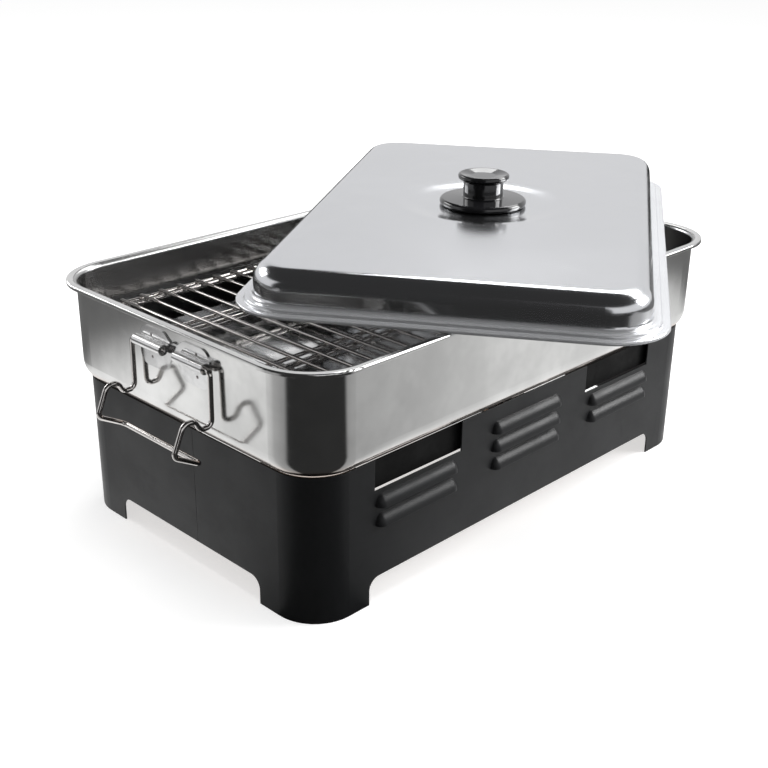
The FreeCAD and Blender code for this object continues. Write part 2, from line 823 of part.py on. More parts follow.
def straight_wires(label, direction, wires_at, radius, level):
    """Straight wires side by side, from (place, length) pairs, as one group of solids."""
    wires = []
    for number, (spot, length) in enumerate(wires_at):
        rod = doc.addObject("Part::Cylinder", f"{label}_{number}")
        bind(rod, "Radius", radius)
        bind(rod, "Height", length)
        along_x = direction == "X"
        axis = FreeCAD.Vector(0, 1, 0) if along_x else FreeCAD.Vector(1, 0, 0)
        rod.Placement.Rotation = FreeCAD.Rotation(axis, 90 if along_x else -90)
        middle = f"-1 * ( {length} ) / 2"
        bind(rod, "Placement.Base.x", middle if along_x else spot)
        bind(rod, "Placement.Base.y", spot if along_x else middle)
        bind(rod, "Placement.Base.z", level)
        wires.append(rod)
    group = doc.addObject("Part::Compound", label)
    group.Links = wires
    place(group)
    return keep(group, label)


def grill_wires():
    """The grill's cross wires and the runners under them."""
    crossings = []
    half = int(value_of("( grill_length / 2 - cross_margin ) / cross_pitch"))
    for number in range(-half, half + 1):
        spot = f"{number} * cross_pitch"
        beyond = f"{abs(number)} * cross_pitch - ( grill_length / 2 - grill_corner )"
        length = "grill_width + frame_wire"
        if value_of(beyond) > 0:
            # beyond the straight part of the frame a wire ends on the corner's arc
            length = (
                "grill_width - 2 * grill_corner + frame_wire + 2 * "
                f"( grill_corner * grill_corner - ( {beyond} ) * ( {beyond} ) ) ^ 0.5"
            )
        crossings.append((spot, length))
    level = "grill_level + frame_wire + cross_wire - weld_sink"
    straight_wires("grill_cross_wires", "Y", crossings, "cross_wire", level)
    runners = []
    for name in ("runner_outer", "runner_middle", "runner_inner"):
        for way in (-1, 1):
            spot = f"{way} * {name}"
            beyond = f"{name} - ( grill_width / 2 - grill_corner )"
            length = "grill_length - 2 * frame_wire + 2 * weld_sink"
            if value_of(beyond) > 0:
                length = (
                    "grill_length - 2 * grill_corner - frame_wire + 2 * "
                    f"( grill_corner * grill_corner - ( {beyond} ) * ( {beyond} ) ) ^ 0.5"
                )
            runners.append((spot, length))
    runner_level = "grill_level + frame_wire - runner_wire"
    straight_wires("grill_runners", "X", runners, "runner_wire", runner_level)


def grill_legs():
    """Two bent wires that carry the grill on the pan's bottom."""
    radius = value_of("leg_wire")
    bottom = value_of("stand_height - pan_sink + pan_sheet + rest_gap") + radius
    top = value_of("grill_level - frame_wire + weld_sink")
    place_x = value_of("leg_place")
    above = value_of("grill_width / 2")
    below = value_of("grill_width / 2 - leg_inset")
    bend = value_of("leg_bend")
    legs = []
    for way in (-1, 1):
        x = way * place_x
        corners = [
            (FreeCAD.Vector(x, -above, top), 0),
            (FreeCAD.Vector(x, -below, bottom), bend),
            (FreeCAD.Vector(x, below, bottom), bend),
            (FreeCAD.Vector(x, above, top), 0),
        ]
        legs.append(wire_along(rounded_path(corners), radius))
    group = doc.addObject("Part::Feature", "grill_legs")
    group.Shape = Part.Compound(legs)
    place(group)
    return keep(group, "grill_legs")


def drip_tray():
    """A shallow dish above the smoking dust, on four short feet."""
    body = new_body("drip_tray")
    drawing = new_sketch(body, "tray_outline", "XY_Plane")
    rectangle(drawing, "tray_length", "tray_width", "tray_corner")
    pad(body, drawing, "tray_height")
    inside = new_sketch(body, "tray_inside", "XY_Plane", "tray_sheet")
    rectangle(
        inside, "tray_length - 2 * tray_sheet", "tray_width - 2 * tray_sheet",
        "tray_corner - tray_sheet",
    )
    pocket(body, inside, "tray_height", along_normal=True)
    base = "stand_height - pan_sink + pan_sheet"
    place(body, z=f"{base} + tray_foot_height")
    keep(body, "drip_tray")
    feet = []
    for way_x in (-1, 1):
        for way_y in (-1, 1):
            foot = doc.addObject("Part::Cylinder", f"tray_foot_{way_x + 1}_{way_y + 1}")
            bind(foot, "Radius", "tray_foot_round")
            bind(foot, "Height", "tray_foot_height")
            bind(foot, "Placement.Base.x", f"{way_x} * ( tray_length / 2 - tray_foot_inset )")
            bind(foot, "Placement.Base.y", f"{way_y} * ( tray_width / 2 - tray_foot_inset )")
            feet.append(foot)
    group = doc.addObject("Part::Compound", "drip_tray_feet")
    group.Links = feet
    place(group, z=base)
    return keep(group, "drip_tray_feet")


def burner(side, way):
    """A spirit burner: cup, wool pad, perforated disc and snuffer cap."""
    x = f"{way} * burner_place"
    cup = turned_piece(f"burner_{side}_cup", [
        ("0", "0"),
        ("cup_round", "0", "cup_bend"),
        ("cup_round", "cup_height"),
        ("cup_round - cup_sheet", "cup_height"),
        ("cup_round - cup_sheet", "cup_sheet", "cup_bend - cup_sheet"),
        ("0", "cup_sheet"),
    ])
    place(cup, x)
    keep(cup, f"burner_{side}_cup")
    pad_round = "cup_round - cup_sheet - pad_clearance"
    wool = turned_piece(f"burner_{side}_wool_pad", [
        ("0", "cup_sheet"),
        (pad_round, "cup_sheet", "cup_bend"),
        (pad_round, "cup_sheet + pad_height"),
        ("0", "cup_sheet + pad_height"),
    ])
    place(wool, x)
    keep(wool, f"burner_{side}_wool_pad")
    disc = new_body(f"burner_{side}_disc")
    plan = new_sketch(disc, f"burner_{side}_disc_plan", "XY_Plane", "cup_sheet + pad_height")
    circle(plan, "cup_round - cup_sheet - pad_clearance")
    circle(plan, "disc_hole")
    holes = round(value_of("disc_outer_holes"))
    for number in range(holes):
        angle = 2 * math.pi * (number + 0.5) / holes
        across = round(math.cos(angle), 6)
        along = round(math.sin(angle), 6)
        circle(plan, "disc_hole", f"disc_hole_circle * {across}", f"disc_hole_circle * {along}")
    pad(disc, plan, "disc_sheet")
    place(disc, x)
    keep(disc, f"burner_{side}_disc")
    inner = "cup_round + cap_clearance"
    outer = f"{inner} + cap_sheet"
    under = "cup_height + cap_gap"
    cap = turned_piece(f"burner_{side}_cap", [
        ("0", under),
        (inner, under),
        (inner, f"{under} - cap_skirt"),
        (outer, f"{under} - cap_skirt"),
        (outer, f"{under} + cap_sheet", "cap_bend"),
        ("cap_button_round", f"{under} + cap_sheet", "cap_button_foot"),
        ("cap_button_round", f"{under} + cap_sheet + cap_button_height", "cap_button_edge"),
        ("0", f"{under} + cap_sheet + cap_button_height"),
    ])
    place(cap, x)
    keep(cap, f"burner_{side}_cap")


def build():
    """Make every piece."""
    stand_half("stand_front_half", "0")
    stand_half("stand_rear_half", "180")
    seam_strap("seam_strap_left", -1)
    seam_strap("seam_strap_right", 1)
    pan_rail("pan_rail_front", "0")
    pan_rail("pan_rail_rear", "180")
    pan()
    for side, turned in (("left", "180"), ("right", "0")):
        handle_plate(f"handle_plate_{side}", turned)
        handle(f"handle_{side}", turned)
    lid_shell()
    lid_knob()
    knob_fixings()
    grill_frame()
    grill_wires()
    grill_legs()
    drip_tray()
    burner("left", -1)
    burner("right", 1)


def check_and_write():
    """Stop on any failed object, then write each piece to its own file."""
    doc.recompute()
    for thing in doc.Objects:
        if "Invalid" in thing.State or "Error" in thing.State:
            raise RuntimeError(f"{thing.Name} failed: {thing.State}")
    for piece in pieces:
        if piece.Shape.isNull() or not piece.Shape.isValid() or not piece.Shape.Solids:
            raise RuntimeError(f"{piece.Label} has no valid solid")
    os.makedirs("parts", exist_ok=True)
    for piece in pieces:
        piece.Shape.exportStep(os.path.join("parts", piece.Label + ".step"))
        print(piece.Label, len(piece.Shape.Solids), round(piece.Shape.Volume))


build()
check_and_write()
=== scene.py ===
"""Dresses the stovetop smoker box: satin pan, polished lid, wire grill, wire handles, black stand."""

import json  # noqa: E402
import logging  # noqa: E402
import math  # noqa: E402
from dataclasses import dataclass  # noqa: E402
from enum import Enum  # noqa: E402
from typing import Any  # noqa: E402

import bpy  # noqa: E402
from mathutils import Matrix, Vector  # noqa: E402

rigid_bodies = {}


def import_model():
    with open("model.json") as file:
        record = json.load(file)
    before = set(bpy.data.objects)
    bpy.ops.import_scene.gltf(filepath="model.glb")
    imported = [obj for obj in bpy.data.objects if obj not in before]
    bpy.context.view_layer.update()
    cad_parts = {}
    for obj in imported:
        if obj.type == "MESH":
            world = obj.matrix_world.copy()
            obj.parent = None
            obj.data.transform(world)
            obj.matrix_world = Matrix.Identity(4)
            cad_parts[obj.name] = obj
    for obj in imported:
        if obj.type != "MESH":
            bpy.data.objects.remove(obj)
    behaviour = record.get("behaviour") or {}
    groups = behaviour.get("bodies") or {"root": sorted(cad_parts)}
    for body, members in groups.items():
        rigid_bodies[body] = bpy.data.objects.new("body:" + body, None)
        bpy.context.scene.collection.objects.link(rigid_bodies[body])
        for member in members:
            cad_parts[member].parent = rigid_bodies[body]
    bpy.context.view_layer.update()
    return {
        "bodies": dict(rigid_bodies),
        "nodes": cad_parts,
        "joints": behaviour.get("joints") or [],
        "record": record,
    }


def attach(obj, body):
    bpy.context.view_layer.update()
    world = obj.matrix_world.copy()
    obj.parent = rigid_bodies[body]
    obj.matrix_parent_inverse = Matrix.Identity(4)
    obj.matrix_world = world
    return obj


LOG = logging.getLogger("smoker_box")
# the middle of the stand lies here in the part's frame
STAND_X, STAND_Y = -0.037, 0.0095

Frame = dict[str, Any]
Triple = tuple[float, float, float]
Pair = tuple[float, float]
Spots = list[Triple]

EVEN: Triple = (1.0, 1.0, 1.0)
WHITE: Triple = (1.0, 1.0, 1.0)
NUMBER, VECTOR = "NodeSocketFloat", "NodeSocketVector"


class Finish(Enum):
    """The finishes of the smoker box."""

    BLACK_COAT = "black_coating"
    # painted shade: a darker black for the straps and rails inside, which stand in shadow
    PAINTED_SHADE_BLACK = "black_coating_painted_shade"
    PAN_STEEL = "pan_steel"
    PLATE_STEEL = "plate_steel"
    TRAY_STEEL = "tray_steel"
    LID_STEEL = "lid_steel"
    WIRE_CHROME = "wire_chrome"
    WELD_STEEL = "weld_steel"
    KNOB_BLACK = "knob_black"
    INSERT_BRASS = "insert_brass"
    FIXING_STEEL = "fixing_steel"
    BURNER_STEEL = "burner_steel"
    BURNER_WOOL = "burner_wool"


@dataclass(frozen=True)
class SurfaceGrain:
    """How a surface varies: fine grain, broad cloudiness and slow waves.

    Attributes:
        scale: how many grains there are in a metre.
        depth: the height of the grain in metres.
        cloud: how many broad patches there are in a metre.
        stretch: how much the grain is drawn out along X, Y and Z.
        wave: the height of the sheet's slow waves in metres.
    """

    scale: float
    depth: float
    cloud: float
    stretch: Triple = EVEN
    wave: float = 0.0


@dataclass(frozen=True)
class HeatTint:
    """A warm tint near a height, as on steel that stands over a flame.

    Attributes:
        colour: the tint at its strongest.
        full: the height in metres where it is strongest.
        gone: the height in metres where it ends.
    """

    colour: Triple
    full: float
    gone: float


@dataclass(frozen=True)
class BrushedRim:
    """A brushed rim below a polished sheet.

    Attributes:
        full: the height in metres up to which it is brushed.
        gone: the height in metres where the polish is full.
        roughness: roughness of the brushed part.
        metallic: how much of its light it mirrors.
    """

    full: float
    gone: float
    roughness: float
    metallic: float


@dataclass(frozen=True)
class DullShadedInside:
    """The duller inside of a deep pan, whose colour is darkened with painted shade.

    Attributes:
        middle: a point on the pan's upright axis.
        top: the height in metres under which upward faces are inside.
        roughness: roughness of the inside.
        shade: how much of its colour the inside keeps under its painted shade.
    """

    middle: Triple
    top: float
    roughness: float
    shade: float


@dataclass(frozen=True)
class FinishRecipe:
    """The numbers of one finish.

    Attributes:
        colour: base colour.
        rough_low: roughness of the smoothest patches.
        rough_high: roughness of the dullest patches.
        edge_round: radius of the soft edge in metres.
        tint: how much darker the dull patches are, from 0 to 1.
        marks: how much rougher the wiping marks are.
        grain: the surface's fine relief.
        metallic: 1 for bare metal.
        coat: weight of a clear coat.
        shine: how strongly a finish that isn't metal mirrors.
        heat: a warm tint, where the piece has one.
        rim: a duller lower rim, where the piece has one.
        inside: a duller inside darkened with painted shade, where the piece has one.
    """

    colour: Triple
    rough_low: float
    rough_high: float
    edge_round: float
    tint: float
    marks: float
    grain: SurfaceGrain
    metallic: float = 1.0
    coat: float = 0.0
    shine: float = 0.5
    heat: HeatTint | None = None
    rim: BrushedRim | None = None
    inside: DullShadedInside | None = None


RECIPES: dict[Finish, FinishRecipe] = {
    Finish.BLACK_COAT: FinishRecipe(
        colour=(0.0105, 0.011, 0.012), rough_low=0.36, rough_high=0.44,
        edge_round=0.0005, tint=0.12, marks=0.05, metallic=0.0, shine=0.27,
        grain=SurfaceGrain(scale=2600.0, depth=0.00003, cloud=26.0),
    ),
    # painted shade: darker than the outer coat to stand in for the shadow inside the stand
    Finish.PAINTED_SHADE_BLACK: FinishRecipe(
        colour=(0.006, 0.006, 0.006), rough_low=0.6, rough_high=0.75,
        edge_round=0.0004, tint=0.3, marks=0.1, metallic=0.0, shine=0.15,
        grain=SurfaceGrain(scale=1800.0, depth=0.00004, cloud=40.0),
    ),
    Finish.PAN_STEEL: FinishRecipe(
        colour=(0.82, 0.82, 0.81), rough_low=0.09, rough_high=0.17,
        edge_round=0.0003, tint=0.2, marks=0.08,
        grain=SurfaceGrain(
            scale=700.0, depth=0.0000012, cloud=13.0, stretch=(1.0, 1.0, 0.06), wave=0.00012
        ),
        heat=HeatTint(colour=(0.62, 0.42, 0.3), full=0.0968, gone=0.1075),
        # the pan's inside is rougher, and darkened with painted shade
        inside=DullShadedInside(middle=(STAND_X, STAND_Y, 0.0), top=0.15, roughness=0.26, shade=0.5),
    ),
    Finish.PLATE_STEEL: FinishRecipe(
        colour=(0.78, 0.78, 0.78), rough_low=0.1, rough_high=0.2,
        edge_round=0.0004, tint=0.1, marks=0.08,
        grain=SurfaceGrain(
            scale=900.0, depth=0.0000015, cloud=60.0, stretch=(1.0, 0.1, 1.0), wave=0.00005
        ),
    ),
    Finish.TRAY_STEEL: FinishRecipe(
        colour=(0.7, 0.7, 0.7), rough_low=0.05, rough_high=0.1,
        edge_round=0.0003, tint=0.1, marks=0.06,
        grain=SurfaceGrain(
            scale=500.0, depth=0.0000008, cloud=16.0, stretch=(0.1, 1.0, 1.0), wave=0.00015
        ),
    ),
    Finish.LID_STEEL: FinishRecipe(
        colour=(0.76, 0.77, 0.79), rough_low=0.13, rough_high=0.18,
        edge_round=0.0003, tint=0.04, marks=0.03,
        grain=SurfaceGrain(scale=600.0, depth=0.0000008, cloud=9.0, wave=0.00004),
        rim=BrushedRim(full=0.1738, gone=0.1758, roughness=0.24, metallic=0.72),
    ),
    Finish.WIRE_CHROME: FinishRecipe(
        colour=(0.78, 0.75, 0.73), rough_low=0.05, rough_high=0.12,
        edge_round=0.0002, tint=0.1, marks=0.05,
        grain=SurfaceGrain(scale=1500.0, depth=0.000003, cloud=60.0),
    ),
    Finish.WELD_STEEL: FinishRecipe(
        colour=(0.32, 0.3, 0.29), rough_low=0.25, rough_high=0.42,
        edge_round=0.0002, tint=0.3, marks=0.1,
        grain=SurfaceGrain(scale=2500.0, depth=0.00003, cloud=300.0),
    ),
    Finish.KNOB_BLACK: FinishRecipe(
        colour=(0.009, 0.009, 0.01), rough_low=0.08, rough_high=0.14,
        edge_round=0.0003, tint=0.1, marks=0.04, metallic=0.0, coat=0.5,
        grain=SurfaceGrain(scale=900.0, depth=0.000004, cloud=70.0),
    ),
    Finish.INSERT_BRASS: FinishRecipe(
        colour=(0.66, 0.46, 0.18), rough_low=0.2, rough_high=0.32,
        edge_round=0.0001, tint=0.1, marks=0.1,
        grain=SurfaceGrain(scale=3000.0, depth=0.00001, cloud=200.0, stretch=(1.0, 1.0, 0.1)),
    ),
    Finish.FIXING_STEEL: FinishRecipe(
        colour=(0.58, 0.58, 0.6), rough_low=0.22, rough_high=0.34,
        edge_round=0.0001, tint=0.1, marks=0.1,
        grain=SurfaceGrain(scale=3000.0, depth=0.00001, cloud=200.0),
    ),
    Finish.BURNER_STEEL: FinishRecipe(
        colour=(0.64, 0.64, 0.64), rough_low=0.16, rough_high=0.28,
        edge_round=0.0002, tint=0.1, marks=0.1,
        grain=SurfaceGrain(scale=1800.0, depth=0.000004, cloud=60.0, stretch=(1.0, 1.0, 0.08)),
    ),
    Finish.BURNER_WOOL: FinishRecipe(
        colour=(0.82, 0.8, 0.75), rough_low=0.85, rough_high=0.98,
        edge_round=0.0006, tint=0.2, marks=0.0, metallic=0.0,
        grain=SurfaceGrain(scale=900.0, depth=0.0006, cloud=160.0, stretch=(1.0, 1.0, 0.4)),
    ),
}


def opaque(colour: Triple) -> tuple[float, ...]:
    """Give a colour its full alpha."""
    return (*colour, 1.0)


@dataclass(frozen=True)
class NoiseKind:
    """The character of a noise.

    Attributes:
        octaves: how many finer layers lie over the first.
        fine: how strong each finer layer is.
        warp: how much it is distorted.
    """

    octaves: float
    fine: float
    warp: float = 0.0


@dataclass
class NodeBench:
    """Adds nodes to one shader tree and wires them.

    Attributes:
        tree: the tree that the nodes go in.
    """

    tree: bpy.types.NodeTree

    def add(self, kind: str) -> bpy.types.Node:
        """Add a node of a kind."""
        return self.tree.nodes.new(kind)

    def put(self, given: Any, socket: bpy.types.NodeSocket) -> None:
        """Feed an input.

        Args:
            given: another node's output, or a plain value.
            socket: the input.
        """
        if isinstance(given, bpy.types.NodeSocket):
            self.tree.links.new(given, socket)
        else:
            socket.default_value = given

    def fill(self, node: bpy.types.Node, values: dict[str | int, Any]) -> None:
        """Feed several inputs of a node.

        Args:
            node: the node.
            values: an input's name or number to what it is given.
        """
        for name, given in values.items():
            self.put(given, node.inputs[name])

    def group(self, tree: bpy.types.NodeTree, values: dict[str | int, Any]) -> bpy.types.Node:
        """Place a shared effect.

        Args:
            tree: the effect's group.
            values: an input's name to what it is given.

        Returns:
            The group's node.
        """
        node = self.add("ShaderNodeGroup")
        node.node_tree = tree
        self.fill(node, values)
        return node

    def maths(self, operation: str, *values: Any) -> bpy.types.NodeSocket:
        """Work out a number.

        Args:
            operation: what is done.
            values: what it is done with, in order.

        Returns:
            The number.
        """
        node = self.add("ShaderNodeMath")
        node.operation = operation
        self.fill(node, dict(enumerate(values)))
        return node.outputs["Value"]

    def vectors(self, operation: str, *values: Any) -> bpy.types.NodeSocket:
        """Work with vectors.

        Args:
            operation: what is done.
            values: what it is done with, in order.

        Returns:
            A number for a dot product or a length, and otherwise a vector.
        """
        node = self.add("ShaderNodeVectorMath")
        node.operation = operation
        self.fill(node, dict(enumerate(values)))
        return node.outputs["Value" if operation in ("DOT_PRODUCT", "LENGTH") else "Vector"]

    def axis(self, vector: bpy.types.NodeSocket, name: str) -> bpy.types.NodeSocket:
        """Give one part of a vector.

        Args:
            vector: the vector.
            name: X, Y or Z.

        Returns:
            The part.
        """
        parts = self.add("ShaderNodeSeparateXYZ")
        self.put(vector, parts.inputs["Vector"])
        return parts.outputs[name]

    def spread(
        self, value: bpy.types.NodeSocket, span: Pair, ends: Pair = (0.0, 1.0), soft: bool = True
    ) -> bpy.types.NodeSocket:
        """Turn one span of values into another.

        Args:
            value: the value.
            span: the values at its two ends.
            ends: what they become.
            soft: whether the change starts and ends gently.

        Returns:
            The new value.
        """
        node = self.add("ShaderNodeMapRange")
        node.interpolation_type = "SMOOTHSTEP" if soft else "LINEAR"
        self.fill(node, {
            "Value": value, "From Min": span[0], "From Max": span[1],
            "To Min": ends[0], "To Max": ends[1],
        })
        return node.outputs["Result"]

    def noise(
        self, place: bpy.types.NodeSocket, scale: bpy.types.NodeSocket, kind: NoiseKind
    ) -> bpy.types.NodeSocket:
        """Make a noise.

        Args:
            place: where it is read.
            scale: how many bumps it has in a metre.
            kind: its character.

        Returns:
            The noise, from 0 to 1.
        """
        node = self.add("ShaderNodeTexNoise")
        self.fill(node, {
            "Vector": place, "Scale": scale, "Detail": kind.octaves,
            "Roughness": kind.fine, "Distortion": kind.warp,
        })
        return node.outputs["Fac"]

    def mix(self, share: bpy.types.NodeSocket, first: Any, second: Any) -> bpy.types.NodeSocket:
        """Mix two numbers.

        Args:
            share: how much of the second is taken.
            first: the number where the share is 0.
            second: the number where it is 1.

        Returns:
            The mixed number.
        """
        node = self.add("ShaderNodeMix")
        self.fill(node, {0: share, 2: first, 3: second})
        return node.outputs[0]

    def blend(self, share: bpy.types.NodeSocket, first: Any, second: Any) -> bpy.types.NodeSocket:
        """Mix two colours.

        Args:
            share: how much of the second is taken.
            first: the colour where the share is 0.
            second: the colour where it is 1.

        Returns:
            The mixed colour.
        """
        node = self.add("ShaderNodeMix")
        node.data_type = "RGBA"
        self.fill(node, {0: share, 6: first, 7: second})
        return node.outputs[2]

    def choose(
        self, share: bpy.types.NodeSocket, first: bpy.types.NodeSocket, second: bpy.types.NodeSocket
    ) -> bpy.types.NodeSocket:
        """Mix two shaders.

        Args:
            share: how much of the second is taken.
            first: the shader where the share is 0.
            second: the shader where it is 1.

        Returns:
            The mixed shader.
        """
        node = self.add("ShaderNodeMixShader")
        self.fill(node, {0: share, 1: first, 2: second})
        return node.outputs["Shader"]


class SurfaceEffects:
    """The shader node groups that the finishes share."""

    FINE_GRAIN = NoiseKind(octaves=3.0, fine=0.5)
    BROAD_PATCHES = NoiseKind(octaves=4.0, fine=0.6)
    SLOW_WAVES = NoiseKind(octaves=1.0, fine=0.3)
    STREAKS = NoiseKind(octaves=5.0, fine=0.7, warp=1.2)
    PATCH_SPAN = (0.34, 0.66)
    STREAK_SPAN = (0.52, 0.72)
    STREAK_TURN = (0.3, 0.5, 0.7)
    STREAK_STRETCH = (1.0, 0.25, 0.5)
    INWARD_SPAN = (0.02, 0.06)
    UPWARD_SPAN = (0.1, 0.5)
    LEVEL = (1.0, 1.0, 0.0)

    def __init__(self) -> None:
        """Build each group once."""
        self.cloudy_grain = self._build_cloudy_grain()
        self.wiping_marks = self._build_wiping_marks()
        self.facing_inwards = self._build_facing_inwards()

    @staticmethod
    def _start(
        name: str, takes: dict[str, str], gives: tuple[str, ...]
    ) -> tuple[NodeBench, bpy.types.Node, bpy.types.Node]:
        """Start a group.

        Args:
            name: the group's name.
            takes: an input's name to its socket type.
            gives: the names of its outputs, which are numbers.

        Returns:
            The group's bench, its input node and its output node.
        """
        tree = bpy.data.node_groups.new(name, "ShaderNodeTree")
        for socket, kind in takes.items():
            tree.interface.new_socket(name=socket, in_out="INPUT", socket_type=kind)
        for socket in gives:
            tree.interface.new_socket(name=socket, in_out="OUTPUT", socket_type=NUMBER)
        bench = NodeBench(tree)
        return bench, bench.add("NodeGroupInput"), bench.add("NodeGroupOutput")

    def _build_cloudy_grain(self) -> bpy.types.NodeTree:
        """Make the group that gives broad patches and fine grain.

        Returns:
            The group: its Cloud, Wave and Grain run from 0 to 1.
        """
        bench, given, result = self._start(
            "cloudy_grain",
            {"Grain Scale": NUMBER, "Stretch": VECTOR, "Cloud Scale": NUMBER},
            ("Cloud", "Wave", "Grain"),
        )
        place = bench.add("ShaderNodeTexCoord").outputs["Object"]
        broad_scale = given.outputs["Cloud Scale"]
        drawn = bench.add("ShaderNodeMapping")
        bench.fill(drawn, {"Vector": place, "Scale": given.outputs["Stretch"]})
        fine = bench.noise(drawn.outputs["Vector"], given.outputs["Grain Scale"], self.FINE_GRAIN)
        broad = bench.noise(place, broad_scale, self.BROAD_PATCHES)
        slow = bench.noise(place, broad_scale, self.SLOW_WAVES)
        bench.fill(result, {
            "Cloud": bench.spread(broad, self.PATCH_SPAN), "Wave": slow, "Grain": fine,
        })
        return bench.tree

    def _build_facing_inwards(self) -> bpy.types.NodeTree:
        """Make the group that tells a pan's inside from its outside.

        Returns:
            The group: its Inside is 1 on the inner walls and the bottom's upper face.
        """
        bench, given, result = self._start(
            "facing_inwards", {"Middle": VECTOR, "Top": NUMBER}, ("Inside",)
        )
        place = bench.add("ShaderNodeTexCoord")
        spot, facing = place.outputs["Object"], place.outputs["Normal"]
        arm = bench.vectors("SUBTRACT", given.outputs["Middle"], spot)
        level_arm = bench.vectors("MULTIPLY", arm, self.LEVEL)
        walls = bench.spread(bench.vectors("DOT_PRODUCT", level_arm, facing), self.INWARD_SPAN)
        upward = bench.spread(bench.axis(facing, "Z"), self.UPWARD_SPAN)
        under = bench.maths("LESS_THAN", bench.axis(spot, "Z"), given.outputs["Top"])
        bottom = bench.maths("MULTIPLY", upward, under)
        bench.put(bench.maths("MAXIMUM", walls, bottom), result.inputs["Inside"])
        return bench.tree

    def _build_wiping_marks(self) -> bpy.types.NodeTree:
        """Make the group that gives the faint streaks of wiping and handling.

        Returns:
            The group: its Marks run from 0 to 1.
        """
        bench, given, result = self._start("wiping_marks", {"Scale": NUMBER}, ("Marks",))
        slanted = bench.add("ShaderNodeMapping")
        bench.fill(slanted, {
            "Vector": bench.add("ShaderNodeTexCoord").outputs["Object"],
            "Rotation": self.STREAK_TURN, "Scale": self.STREAK_STRETCH,
        })
        streak = bench.noise(slanted.outputs["Vector"], given.outputs["Scale"], self.STREAKS)
        bench.put(bench.spread(streak, self.STREAK_SPAN), result.inputs["Marks"])
        return bench.tree


